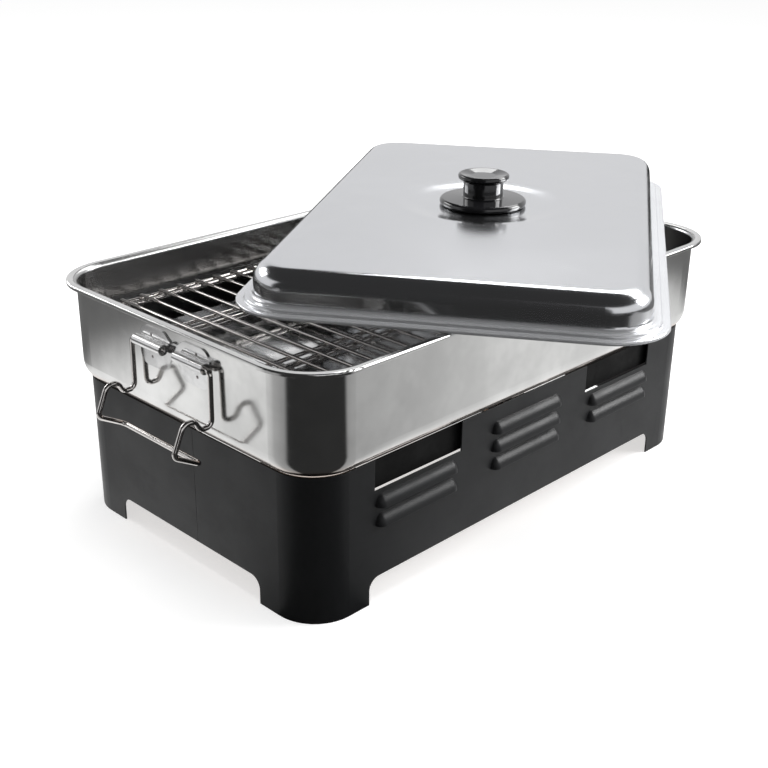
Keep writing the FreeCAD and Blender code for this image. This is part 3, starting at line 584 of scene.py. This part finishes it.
class FinishShelf:
    """Makes each finish's material once and hands it out."""

    MARKS_IN_A_METRE = 45.0
    COAT_ROUGHNESS = 0.05
    EDGE_SAMPLES = 4

    def __init__(self) -> None:
        """Start with the shared effects and no material."""
        self.effects = SurfaceEffects()
        self.made: dict[Finish, bpy.types.Material] = {}

    def material(self, finish: Finish) -> bpy.types.Material:
        """Give the material of a finish, made on first use.

        Args:
            finish: which finish.

        Returns:
            The material.
        """
        if finish not in self.made:
            self.made[finish] = self._build(finish, RECIPES[finish])
        return self.made[finish]

    def _build(self, finish: Finish, recipe: FinishRecipe) -> bpy.types.Material:
        """Make one finish's material.

        Args:
            finish: which finish.
            recipe: its numbers.

        Returns:
            The material.
        """
        material = bpy.data.materials.new(finish.value)
        material.use_nodes = True
        bench = NodeBench(material.node_tree)
        shader = bench.tree.nodes["Principled BSDF"]
        bench.fill(shader, {
            "Metallic": recipe.metallic, "Coat Weight": recipe.coat,
            "Coat Roughness": self.COAT_ROUGHNESS, "Specular IOR Level": recipe.shine,
        })
        grain = bench.group(self.effects.cloudy_grain, {
            "Grain Scale": recipe.grain.scale, "Stretch": recipe.grain.stretch,
            "Cloud Scale": recipe.grain.cloud,
        })
        self._set_roughness(bench, shader, grain, recipe)
        self._set_colour(bench, shader, grain, recipe)
        self._set_relief(bench, shader, grain, recipe)
        return material

    def _set_roughness(
        self, bench: NodeBench, shader: bpy.types.Node, grain: bpy.types.Node, recipe: FinishRecipe
    ) -> None:
        """Let the patches, the wiping marks, a rim and an inside change the roughness.

        Args:
            bench: the material's nodes.
            shader: its Principled BSDF.
            grain: its cloudy grain.
            recipe: the finish's numbers.
        """
        patches = bench.spread(
            grain.outputs["Cloud"], (0.0, 1.0), (recipe.rough_low, recipe.rough_high), soft=False
        )
        streaks = bench.group(self.effects.wiping_marks, {"Scale": self.MARKS_IN_A_METRE})
        rough = bench.maths("MULTIPLY_ADD", streaks.outputs["Marks"], recipe.marks, patches)
        if recipe.inside:
            rough = bench.mix(self._inside(bench, recipe.inside), rough, recipe.inside.roughness)
        if recipe.rim:
            low = self._by_height(bench, recipe.rim.gone, recipe.rim.full)
            rough = bench.mix(low, rough, recipe.rim.roughness)
            mirrored = bench.mix(low, recipe.metallic, recipe.rim.metallic)
            bench.put(mirrored, shader.inputs["Metallic"])
        bench.put(rough, shader.inputs["Roughness"])

    def _inside(self, bench: NodeBench, look: DullShadedInside) -> bpy.types.NodeSocket:
        """Give the mask of a pan's inside.

        Args:
            bench: the material's nodes.
            look: the inside's numbers.

        Returns:
            The mask.
        """
        group = self.effects.facing_inwards
        return bench.group(group, {"Middle": look.middle, "Top": look.top}).outputs["Inside"]

    @staticmethod
    def _by_height(bench: NodeBench, none: float, full: float) -> bpy.types.NodeSocket:
        """Give a mask that follows the height.

        Args:
            bench: the material's nodes.
            none: the height where it is 0.
            full: the height where it is 1.

        Returns:
            The mask.
        """
        place = bench.add("ShaderNodeTexCoord").outputs["Object"]
        return bench.spread(bench.axis(place, "Z"), (none, full))

    def _set_colour(
        self, bench: NodeBench, shader: bpy.types.Node, grain: bpy.types.Node, recipe: FinishRecipe
    ) -> None:
        """Darken the dull patches, paint shade on the inside, and warm the heated edge.

        Args:
            bench: the material's nodes.
            shader: its Principled BSDF.
            grain: its cloudy grain.
            recipe: the finish's numbers.
        """
        dull = tuple(part * (1.0 - recipe.tint) for part in recipe.colour)
        colour = bench.blend(grain.outputs["Cloud"], opaque(recipe.colour), opaque(dull))
        if recipe.heat:
            near = self._by_height(bench, recipe.heat.gone, recipe.heat.full)
            colour = bench.blend(near, colour, opaque(recipe.heat.colour))
        # painted shade: the inside's colour is darkened to stand in for the shade within the pan
        if recipe.inside:
            painted_shade = tuple(part * recipe.inside.shade for part in recipe.colour)
            colour = bench.blend(self._inside(bench, recipe.inside), colour, opaque(painted_shade))
        bench.put(colour, shader.inputs["Base Color"])

    def _set_relief(
        self, bench: NodeBench, shader: bpy.types.Node, grain: bpy.types.Node, recipe: FinishRecipe
    ) -> None:
        """Soften the edges and add the slow waves and the grain.

        Args:
            bench: the material's nodes.
            shader: its Principled BSDF.
            grain: its cloudy grain.
            recipe: the finish's numbers.
        """
        edge = bench.add("ShaderNodeBevel")
        edge.samples = self.EDGE_SAMPLES
        bench.put(recipe.edge_round, edge.inputs["Radius"])
        normal = edge.outputs["Normal"]
        for name, depth in (("Wave", recipe.grain.wave), ("Grain", recipe.grain.depth)):
            if not depth:
                continue
            relief = bench.add("ShaderNodeBump")
            bench.fill(relief, {
                "Distance": depth, "Height": grain.outputs[name], "Normal": normal,
            })
            normal = relief.outputs["Normal"]
        bench.put(normal, shader.inputs["Normal"])

    def dress(self, thing: bpy.types.Object, finish: Finish) -> None:
        """Give an object one finish all over.

        Args:
            thing: a CAD node or a piece.
            finish: the finish it takes.
        """
        if not thing.material_slots:
            thing.data.materials.append(self.material(finish))
        for slot in thing.material_slots:
            slot.material = self.material(finish)
        LOG.info("%s: %s", thing.name, finish.value)


class BeadField:
    """Small round beads, such as welds, set on a list of places by Geometry Nodes."""

    FACES_ROUND = 10
    FACES_OVER = 6
    SEED = 7

    def __init__(self, material: bpy.types.Material) -> None:
        """Build the node tree.

        Args:
            material: the beads' material.
        """
        self.tree = bpy.data.node_groups.new("bead_field", "GeometryNodeTree")
        self.sockets: dict[str, str] = {}
        self._build(material)

    def _build(self, material: bpy.types.Material) -> None:
        """Make the tree: a squashed ball on every vertex, joined and given its material.

        Args:
            material: the beads' material.
        """
        tree, links = self.tree, self.tree.links
        for name, kind in (
            ("Places", "NodeSocketGeometry"), ("Radius", NUMBER),
            ("Squash", VECTOR), ("Unevenness", NUMBER),
        ):
            socket = tree.interface.new_socket(name=name, in_out="INPUT", socket_type=kind)
            self.sockets[name] = socket.identifier
        tree.interface.new_socket(
            name="Beads", in_out="OUTPUT", socket_type="NodeSocketGeometry"
        )
        given = tree.nodes.new("NodeGroupInput")
        result = tree.nodes.new("NodeGroupOutput")
        ball = tree.nodes.new("GeometryNodeMeshUVSphere")
        ball.inputs["Segments"].default_value = self.FACES_ROUND
        ball.inputs["Rings"].default_value = self.FACES_OVER
        links.new(given.outputs["Radius"], ball.inputs["Radius"])
        flat = tree.nodes.new("GeometryNodeTransform")
        links.new(ball.outputs["Mesh"], flat.inputs["Geometry"])
        links.new(given.outputs["Squash"], flat.inputs["Scale"])
        size = tree.nodes.new("FunctionNodeRandomValue")
        size.data_type = "FLOAT"
        size.inputs["Seed"].default_value = self.SEED
        least = tree.nodes.new("ShaderNodeMath")
        least.operation = "SUBTRACT"
        least.inputs[0].default_value = 1.0
        links.new(given.outputs["Unevenness"], least.inputs[1])
        links.new(least.outputs["Value"], size.inputs[2])
        size.inputs[3].default_value = 1.0
        spread = tree.nodes.new("GeometryNodeInstanceOnPoints")
        links.new(given.outputs["Places"], spread.inputs["Points"])
        links.new(flat.outputs["Geometry"], spread.inputs["Instance"])
        links.new(size.outputs[1], spread.inputs["Scale"])
        joined = tree.nodes.new("GeometryNodeRealizeInstances")
        links.new(spread.outputs["Instances"], joined.inputs["Geometry"])
        smooth = tree.nodes.new("GeometryNodeSetShadeSmooth")
        links.new(joined.outputs["Geometry"], smooth.inputs["Geometry"])
        dressed = tree.nodes.new("GeometryNodeSetMaterial")
        dressed.inputs["Material"].default_value = material
        links.new(smooth.outputs["Geometry"], dressed.inputs["Geometry"])
        links.new(dressed.outputs["Geometry"], result.inputs["Beads"])

    def piece(
        self, name: str, places: Spots, radius: float, squash: Triple, unevenness: float
    ) -> bpy.types.Object:
        """Make one plain mesh of beads.

        Args:
            name: the piece's name.
            places: where the beads lie, in metres.
            radius: a bead's radius before it is squashed.
            squash: how much it is scaled along X, Y and Z.
            unevenness: by how much of its size a bead may fall short.

        Returns:
            The piece.
        """
        start = bpy.data.meshes.new(name + "_places")
        start.from_pydata(places, [], [])
        thing = bpy.data.objects.new(name, start)
        bpy.context.scene.collection.objects.link(thing)
        field = thing.modifiers.new("beads", "NODES")
        field.node_group = self.tree
        field[self.sockets["Radius"]] = radius
        field[self.sockets["Squash"]] = squash
        field[self.sockets["Unevenness"]] = unevenness
        shown = thing.evaluated_get(bpy.context.evaluated_depsgraph_get())
        mesh = bpy.data.meshes.new_from_object(shown)
        thing.modifiers.remove(field)
        thing.data = mesh
        mesh.name = name
        return thing


@dataclass
class Workshop:
    """What every sub-assembly works with.

    Attributes:
        frame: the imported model.
        shelf: the finishes.
        beads: the maker of welds.
    """

    frame: Frame
    shelf: FinishShelf
    beads: BeadField

    def dress(self, finishes: dict[str, Finish]) -> None:
        """Give CAD nodes their finishes.

        Args:
            finishes: node name to finish.
        """
        for name, finish in finishes.items():
            self.shelf.dress(self.frame["nodes"][name], finish)

    def add(self, thing: bpy.types.Object, body: str, slot: str) -> None:
        """Let a new piece ride on a body.

        Args:
            thing: the piece.
            body: the CAD body.
            slot: the record's material slot; not used.
        """
        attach(thing, body)
        LOG.info("%s: new piece on %s, %d faces", thing.name, body, len(thing.data.polygons))


@dataclass
class Stand:
    """The black sheet stand with its straps and rails."""

    shop: Workshop

    def build(self) -> None:
        """Dress the sheet halves, and the strips inside in a darker, duller black whose extra
        darkness is painted shade.
        """
        self.shop.dress({f"stand_{half}_half": Finish.BLACK_COAT for half in ("front", "rear")})
        self.shop.dress({f"seam_strap_{side}": Finish.PAINTED_SHADE_BLACK for side in ("left", "right")})
        self.shop.dress({f"pan_rail_{side}": Finish.PAINTED_SHADE_BLACK for side in ("front", "rear")})


@dataclass
class Pan:
    """The pan with its handle plates and wire handles.

    Attributes:
        shop: what it works with.
        plate_face: how far the plates' faces lie from the stand's middle.
        plate_middle: where the plates' middle lies across the stand.
        weld_reach: how far the welds lie from the plates' middle.
        weld_levels: the heights of the welds.
        weld_radius: radius of a weld's mark.
        weld_squash: a mark's height as a share of its width.
        weld_unevenness: by how much of its size a mark may fall short.
    """

    shop: Workshop
    plate_face: float = 0.2055
    plate_middle: float = -0.006
    weld_reach: float = 0.0227
    weld_levels: tuple[float, float] = (0.1405, 0.155)
    weld_radius: float = 0.0012
    weld_squash: float = 0.14
    weld_unevenness: float = 0.15

    def build(self) -> None:
        """Dress the pan and add the spot welds of its plates."""
        self.shop.dress({"pan": Finish.PAN_STEEL})
        for side, way in (("left", -1), ("right", 1)):
            self.shop.dress({
                f"handle_plate_{side}": Finish.PLATE_STEEL,
                f"handle_{side}": Finish.WIRE_CHROME,
            })
            places = [
                (
                    STAND_X + way * self.plate_face,
                    STAND_Y + self.plate_middle + across * self.weld_reach,
                    level,
                )
                for across in (-1, 1) for level in self.weld_levels
            ]
            welds = self.shop.beads.piece(
                f"plate_spot_welds_{side}", places, self.weld_radius,
                (self.weld_squash, 1.0, 1.0), self.weld_unevenness,
            )
            self.shop.add(welds, "pan", "pan_steel")


@dataclass
class Lid:
    """The lid with its knob and the fixings under it."""

    shop: Workshop

    def build(self) -> None:
        """Dress the sheet, the knob and the fixings."""
        self.shop.dress({
            "lid_shell": Finish.LID_STEEL,
            "lid_knob": Finish.KNOB_BLACK,
            "knob_insert": Finish.INSERT_BRASS,
            "knob_washer": Finish.FIXING_STEEL,
            "knob_screw": Finish.FIXING_STEEL,
        })


@dataclass
class Grill:
    """The welded wire grill.

    Attributes:
        shop: what it works with.
        length: length of the frame over its wire's middle.
        width: width of the frame over its wire's middle.
        corner: radius of the frame's corners.
        pitch: distance between the cross wires.
        crossings: how many cross wires lie on each side of the middle one.
        runners: how far the runners lie from the middle.
        weld_level: height at which the cross wires touch what is under them.
        weld_radius: half the width of a weld.
        weld_squash: how much a weld is scaled along X, Y and Z.
        weld_unevenness: by how much of its size a weld may fall short.
    """

    shop: Workshop
    length: float = 0.376
    width: float = 0.232
    corner: float = 0.025
    pitch: float = 0.0161
    crossings: int = 11
    runners: tuple[float, float, float] = (0.041, 0.052, 0.109)
    weld_level: float = 0.1404
    weld_radius: float = 0.00135
    weld_squash: Triple = (1.0, 1.0, 0.6)
    weld_unevenness: float = 0.25

    def _end_of_wire(self, along: float) -> float:
        """Give how far a cross wire reaches, which is less at the frame's corners.

        Args:
            along: how far the wire lies from the frame's middle.

        Returns:
            How far its end lies from the frame's middle, across.
        """
        beyond = abs(along) - (self.length / 2 - self.corner)
        if beyond <= 0:
            return self.width / 2
        return self.width / 2 - self.corner + math.sqrt(self.corner ** 2 - beyond ** 2)

    def build(self) -> None:
        """Dress the wires and add a weld at every crossing."""
        self.shop.dress({
            name: Finish.WIRE_CHROME
            for name in ("grill_frame", "grill_cross_wires", "grill_runners", "grill_legs")
        })
        places: Spots = []
        for number in range(-self.crossings, self.crossings + 1):
            along = number * self.pitch
            for across in (*self.runners, self._end_of_wire(along)):
                for way in (-1, 1):
                    places.append((STAND_X + along, STAND_Y + way * across, self.weld_level))
        welds = self.shop.beads.piece(
            "grill_welds", places, self.weld_radius, self.weld_squash, self.weld_unevenness
        )
        self.shop.add(welds, "grill", "wire_chrome")


@dataclass
class DripTray:
    """The bright tray that keeps fat off the smoking dust."""

    shop: Workshop

    def build(self) -> None:
        """Dress the tray and its feet."""
        self.shop.dress({name: Finish.TRAY_STEEL for name in ("drip_tray", "drip_tray_feet")})


@dataclass
class SpiritBurner:
    """One spirit burner.

    Attributes:
        shop: what it works with.
        side: left or right.
    """

    shop: Workshop
    side: str

    def build(self) -> None:
        """Dress the cup, the disc, the cap and the wool."""
        self.shop.dress({
            f"burner_{self.side}_cup": Finish.BURNER_STEEL,
            f"burner_{self.side}_disc": Finish.BURNER_STEEL,
            f"burner_{self.side}_cap": Finish.BURNER_STEEL,
            f"burner_{self.side}_wool_pad": Finish.BURNER_WOOL,
        })


@dataclass(frozen=True)
class Fall:
    """How something dims between two values.

    Attributes:
        near: where it starts to dim.
        far: where it has dimmed.
        least: what is left of it there.
    """

    near: float
    far: float
    least: float = 0.0

    def over(self, bench: NodeBench, value: bpy.types.NodeSocket) -> bpy.types.NodeSocket:
        """Give the brightness for a value."""
        return bench.spread(value, (self.near, self.far), (1.0, self.least))


@dataclass(frozen=True)
class SoftBox:
    """A soft lamp that faces the smoker box.

    Attributes:
        name: its name.
        place: where it hangs, in metres.
        width: how wide its light is, in metres.
        height: how high its light is, in metres.
        power: its power in watts.
        mirrored: whether gloss shows it.
    """

    name: str
    place: Triple
    width: float
    height: float
    power: float
    mirrored: bool = True

    def build(self, target: Triple) -> None:
        """Hang the lamp.

        Args:
            target: the point it faces.
        """
        lamp = bpy.data.lights.new(self.name, "AREA")
        lamp.shape = "RECTANGLE"
        lamp.size = self.width
        lamp.size_y = self.height
        lamp.energy = self.power
        holder = bpy.data.objects.new(self.name, lamp)
        holder.location = self.place
        aim = Vector(target) - holder.location
        holder.rotation_euler = aim.to_track_quat("-Z", "Y").to_euler()
        holder.visible_glossy = self.mirrored
        bpy.context.scene.collection.objects.link(holder)


@dataclass(frozen=True)
class PhotoCamera:
    """The camera of the photograph, found from the feet, the rim, the lid and the windows.

    Attributes:
        azimuth: how far it is turned round the upright axis, in degrees.
        rise: how far above the level it looks from, in degrees.
        roll: how far it is tilted sideways, in degrees.
        place: where it is, in metres from the stand's middle.
        lens: its focal length in millimetres.
        film: how wide its film is, in millimetres.
        nearest: the least distance it shows, in metres.
    """

    azimuth: float = -45.493
    rise: float = 23.247
    roll: float = 0.663
    place: Triple = (-0.59082, -0.56290, 0.41642)
    lens: float = 55.687
    film: float = 36.0
    nearest: float = 0.01

    def build(self) -> None:
        """Set the camera up and let the scene look through it."""
        azimuth, rise = math.radians(self.azimuth), math.radians(self.rise)
        roll = math.radians(self.roll)
        back = Vector((
            math.sin(azimuth) * math.cos(rise),
            -math.cos(azimuth) * math.cos(rise),
            math.sin(rise),
        ))
        level = Vector((math.cos(azimuth), math.sin(azimuth), 0.0))
        upright = back.cross(level)
        right = math.cos(roll) * level + math.sin(roll) * upright
        up = -math.sin(roll) * level + math.cos(roll) * upright
        lens = bpy.data.cameras.new("camera")
        lens.sensor_width = self.film
        lens.lens = self.lens
        lens.dof.use_dof = False
        lens.clip_start = self.nearest
        holder = bpy.data.objects.new("camera", lens)
        turned = Matrix((right, up, back)).transposed().to_4x4()
        along, across, height = self.place
        spot = Vector((along + STAND_X, across + STAND_Y, height))
        holder.matrix_world = Matrix.Translation(spot) @ turned
        bpy.context.scene.collection.objects.link(holder)
        bpy.context.scene.camera = holder


@dataclass
class Studio:
    """The pale floor, the soft lamps, the world and the camera.

    Gloss sees a floor and a sky of their own, with light and dark parts that draw the photograph's
    reflections. The eye sees white.

    Attributes:
        floor_half: half the floor's width.
        floor_grey: the floor's own colour.
        floor_roughness: the floor's roughness.
        glow_span: the distances from the middle over which the floor's glow grows.
        glow: its glow to the eye at those distances.
        dark_floor_from: where the dark part of the floor starts, which only gloss shows.
        dark_floor_way: the way it widens, level.
        floor_stops: brightness of the floor to gloss, from straight away from that way, which is
            0, to straight along it, which is 1.
        right_edge: how the floor dims to gloss beyond the box's right end.
        rear_edge: how the floor dims to gloss behind the box.
        dark_sky_way: the middle of the low sky's dark part, which only gloss shows.
        sky_height: how the sky dims to gloss with its height.
        sky_turn: how the low sky dims to gloss near its dark part.
        sky_ends: strength of the sky to gloss where it is dark and where it is bright.
        sky_colour: its colour to gloss.
        fill: strength of the even light on what isn't glossy.
        target: the point that the lamps face.
        boxes: the lamps.
        camera: the camera.
    """

    floor_half: float = 6.0
    floor_grey: Triple = (0.6, 0.6, 0.6)
    floor_roughness: float = 0.9
    glow_span: Pair = (0.5, 3.0)
    glow: Pair = (0.62, 0.8)
    dark_floor_from: Triple = (-0.2, -0.08, 0.0)
    dark_floor_way: Triple = (-0.607, -0.794, 0.0)
    floor_stops: tuple[Pair, ...] = (
        (0.28, 1.0), (0.41, 0.88), (0.5, 0.68), (0.587, 0.45), (0.765, 0.34), (0.812, 0.03),
    )
    right_edge: Fall = Fall(near=0.42, far=0.56, least=0.18)
    rear_edge: Fall = Fall(near=0.26, far=0.43, least=0.16)
    dark_sky_way: Triple = (-0.966, -0.259, 0.0)
    sky_height: Fall = Fall(near=0.45, far=0.55)
    sky_turn: Fall = Fall(near=0.76, far=0.84)
    sky_ends: Pair = (0.04, 0.95)
    sky_colour: Triple = (0.8, 0.8, 0.81)
    fill: float = 0.25
    target: Triple = (0.0, 0.0, 0.1)
    boxes: tuple[SoftBox, ...] = (
        SoftBox("softbox_top", (0.0, -0.2, 2.0), width=1.2, height=1.2, power=26.0, mirrored=False),
        SoftBox("softbox_left", (-0.45, 1.72, 1.05), width=1.0, height=0.6, power=8.0),
        SoftBox("softbox_right", (0.98, 0.05, 1.17), width=1.9, height=0.56, power=13.0),
        SoftBox("softbox_front", (1.25, -1.05, 0.85), width=0.9, height=0.7, power=24.0),
    )
    camera: PhotoCamera = PhotoCamera()

    def build(self) -> None:
        """Make the whole surroundings."""
        bpy.context.scene.view_settings.view_transform = "Standard"
        self._floor()
        self._world()
        for box in self.boxes:
            box.build(self.target)
        self.camera.build()

    def _floor(self) -> None:
        """Lay a wide white floor just under the feet that keeps a faint shadow."""
        half = self.floor_half
        mesh = bpy.data.meshes.new("floor")
        corners = [(-half, -half, 0.0), (half, -half, 0.0), (half, half, 0.0), (-half, half, 0.0)]
        mesh.from_pydata(corners, [], [(0, 1, 2, 3)])
        floor = bpy.data.objects.new("floor", mesh)
        bpy.context.scene.collection.objects.link(floor)
        mesh.materials.append(self._floor_material())

    def _floor_material(self) -> bpy.types.Material:
        """Make the floor: white to the eye, and with a dark part towards the camera to gloss.

        Returns:
            The material.
        """
        material = bpy.data.materials.new("white_floor")
        material.use_nodes = True
        bench = NodeBench(material.node_tree)
        place = bench.add("ShaderNodeTexCoord").outputs["Object"]
        path = bench.add("ShaderNodeLightPath").outputs
        glow = bench.spread(bench.vectors("LENGTH", place), self.glow_span, self.glow, soft=False)
        plain = bench.tree.nodes["Principled BSDF"]
        bench.fill(plain, {
            "Base Color": opaque(self.floor_grey), "Roughness": self.floor_roughness,
            "Specular IOR Level": 0.0, "Emission Color": opaque(WHITE),
            "Emission Strength": bench.maths("MULTIPLY", path["Is Camera Ray"], glow),
        })
        mirrored = bench.add("ShaderNodeEmission")
        bench.fill(mirrored, {
            "Color": self._floor_by_way(bench, place), "Strength": self._far_edges(bench, place),
        })
        surface = bench.choose(
            path["Is Glossy Ray"], plain.outputs["BSDF"], mirrored.outputs["Emission"]
        )
        bench.put(surface, bench.tree.nodes["Material Output"].inputs["Surface"])
        return material

    def _floor_by_way(
        self, bench: NodeBench, place: bpy.types.NodeSocket
    ) -> bpy.types.NodeSocket:
        """Grade what gloss sees of the floor by its direction from where the dark part starts.

        Args:
            bench: the floor's nodes.
            place: the place on the floor.

        Returns:
            Its grey there.
        """
        outward = bench.vectors("SUBTRACT", place, self.dark_floor_from)
        way = bench.vectors("NORMALIZE", outward)
        turned = bench.vectors("DOT_PRODUCT", way, self.dark_floor_way)
        ramp = bench.add("ShaderNodeValToRGB")
        self._fill_ramp(ramp, self.floor_stops)
        bench.put(bench.spread(turned, (-1.0, 1.0), soft=False), ramp.inputs["Fac"])
        return ramp.outputs["Color"]

    def _far_edges(self, bench: NodeBench, place: bpy.types.NodeSocket) -> bpy.types.NodeSocket:
        """Dim what gloss sees of the floor beyond the box's right end and behind it.

        Args:
            bench: the floor's nodes.
            place: the place on the floor.

        Returns:
            How bright the floor is there.
        """
        right = self.right_edge.over(bench, bench.axis(place, "X"))
        rear = self.rear_edge.over(bench, bench.axis(place, "Y"))
        return bench.maths("MULTIPLY", right, rear)

    @staticmethod
    def _fill_ramp(ramp: bpy.types.Node, stops: tuple[Pair, ...]) -> None:
        """Set a ramp's greys.

        Args:
            ramp: the ramp node.
            stops: pairs of place and brightness.
        """
        elements = ramp.color_ramp.elements
        while len(elements) < len(stops):
            elements.new(0.5)
        for element, (spot, bright) in zip(elements, stops):
            element.position = spot
            element.color = (bright, bright, bright, 1.0)

    def _sky_to_gloss(self, bench: NodeBench) -> bpy.types.NodeSocket:
        """Make the sky bright low down, except towards its dark part, and dark above.

        Args:
            bench: the world's nodes.

        Returns:
            The sky's strength.
        """
        way = bench.add("ShaderNodeTexCoord").outputs["Generated"]
        turned = bench.vectors("DOT_PRODUCT", way, self.dark_sky_way)
        low = self.sky_height.over(bench, bench.axis(way, "Z"))
        beside = self.sky_turn.over(bench, turned)
        share = bench.maths("MULTIPLY", low, beside)
        return bench.spread(share, (0.0, 1.0), self.sky_ends, soft=False)

    def _world(self) -> None:
        """Make a world that is white to the eye, a soft fill, and white and dark to gloss."""
        world = bpy.data.worlds.new("studio")
        bpy.context.scene.world = world
        world.use_nodes = True
        bench = NodeBench(world.node_tree)
        path = bench.add("ShaderNodeLightPath").outputs
        even = bench.tree.nodes["Background"]
        bench.fill(even, {"Color": opaque(WHITE), "Strength": self.fill})
        white = bench.add("ShaderNodeBackground")
        bench.fill(white, {"Color": opaque(WHITE), "Strength": 1.0})
        mirrored = bench.add("ShaderNodeBackground")
        bench.fill(mirrored, {
            "Color": opaque(self.sky_colour), "Strength": self._sky_to_gloss(bench),
        })
        lit = bench.choose(
            path["Is Glossy Ray"], even.outputs["Background"], mirrored.outputs["Background"]
        )
        seen = bench.maths("MAXIMUM", path["Is Camera Ray"], path["Is Transmission Ray"])
        surface = bench.choose(seen, lit, white.outputs["Background"])
        bench.put(surface, bench.tree.nodes["World Output"].inputs["Surface"])


def main() -> None:
    """Build the surroundings, then each sub-assembly in order."""
    logging.basicConfig(level=logging.INFO, format="%(message)s")
    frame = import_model()
    Studio().build()
    shelf = FinishShelf()
    shop = Workshop(frame, shelf, BeadField(shelf.material(Finish.WELD_STEEL)))
    Stand(shop).build()
    Pan(shop).build()
    Lid(shop).build()
    Grill(shop).build()
    DripTray(shop).build()
    for side in ("left", "right"):
        SpiritBurner(shop, side).build()


if __name__ == "__main__":
    main()
